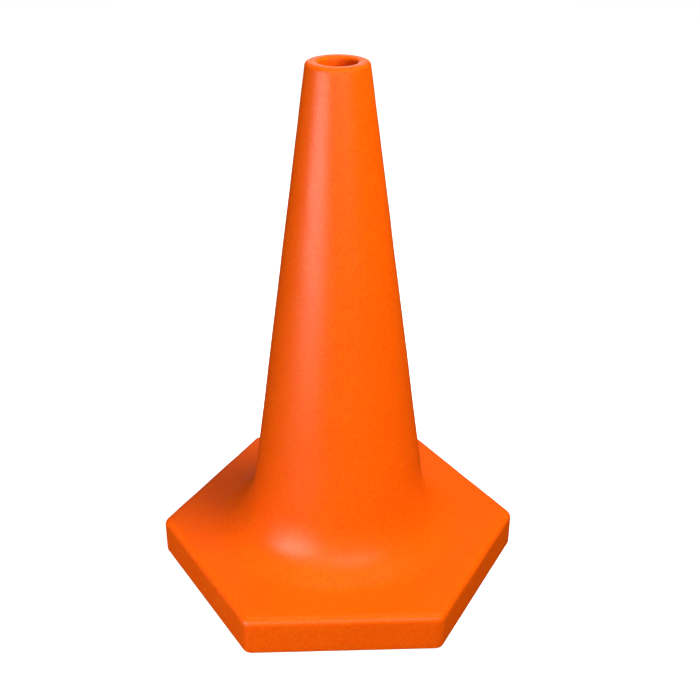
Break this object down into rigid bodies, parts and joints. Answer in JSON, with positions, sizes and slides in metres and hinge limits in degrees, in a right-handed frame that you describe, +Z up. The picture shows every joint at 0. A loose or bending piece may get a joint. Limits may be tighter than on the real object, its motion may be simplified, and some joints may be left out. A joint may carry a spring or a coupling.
{
  "type": "traffic cone",
  "caption": "Road cone with a straight tapered body, an open lip and a thick hexagonal base, moulded hollow in one piece, with sand ballast loaded through a screw plug underneath.",
  "frame": {"origin": "centre of the base's underside, on the ground", "axes": "+Z up along the cone's axis; +X towards the corner that the filler port lies under; -Y towards the front flat side of the hexagon"},
  "size_m": [0.4962, 0.433, 0.7],
  "materials": {
    "shell_plastic": "satin",
    "sand": "matte",
    "port_plastic": "satin",
    "gasket_rubber": "matte",
    "plug_plastic": "satin"
  },
  "bodies": {
    "cone": {"cone_shell": "shell_plastic", "ballast_sand": "sand", "filler_port": "port_plastic"},
    "seal": {"plug_gasket": "gasket_rubber"},
    "plug": {"filler_plug": "plug_plastic"}
  },
  "joints": [
    {"name": "plug_travel", "type": "slide", "parent": "cone", "child": "seal", "axis": [0, 0, -1], "range_m": [0, 0.012]},
    {"name": "plug_turn", "type": "hinge", "parent": "seal", "child": "plug", "pos_m": [0.17101, 0, 0.008], "axis": [0, 0, -1], "range_deg": [0, 1080]}
  ],
  "couplings": [
    {"joint": "plug_travel", "follows": "plug_turn", "m_per_rad": 0.0006366}
  ]
}
